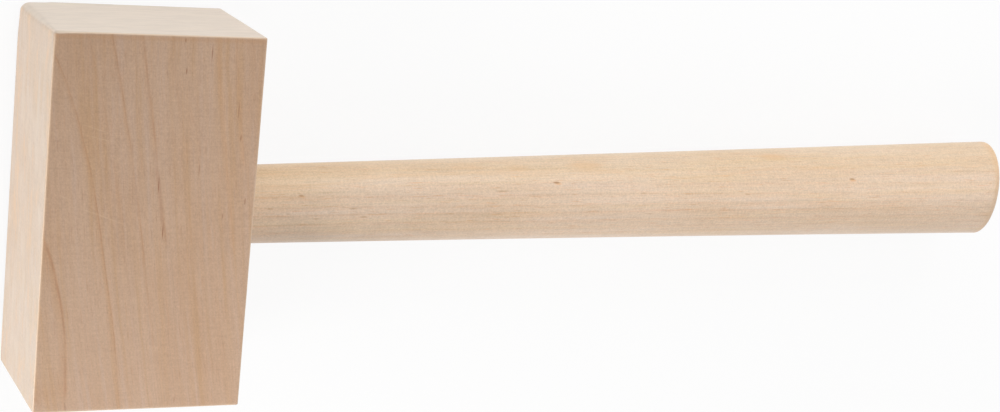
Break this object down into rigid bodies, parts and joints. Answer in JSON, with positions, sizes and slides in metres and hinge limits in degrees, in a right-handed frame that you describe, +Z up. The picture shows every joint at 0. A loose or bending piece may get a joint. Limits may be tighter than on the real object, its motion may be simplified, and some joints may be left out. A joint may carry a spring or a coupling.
{
  "type": "wooden mallet",
  "caption": "Joiner's mallet: a rectangular hardwood head on a round turned handle that swells towards the butt, wedged inside a stopped bore.",
  "frame": {"origin": "centre of the head's lower cheek, the flat side the mallet lies on", "axes": "+X runs from the crown to the underside of the head and on along the handle to the butt; +Y runs from one striking face to the other, along the head's grain; +Z runs up from the lower cheek to the upper cheek"},
  "size_m": [0.3788, 0.125, 0.053],
  "materials": {
    "head_wood": "planed and lightly sanded pale hardwood, unfinished, end grain on the striking faces",
    "handle_wood": "turned and sanded pale hardwood, unfinished, grain along the handle",
    "wedge_wood": "sawn hardwood, hidden in the joint"
  },
  "bodies": {
    "root": {"head": "head_wood", "handle": "handle_wood", "fox_wedge": "wedge_wood"}
  },
  "joints": []
}
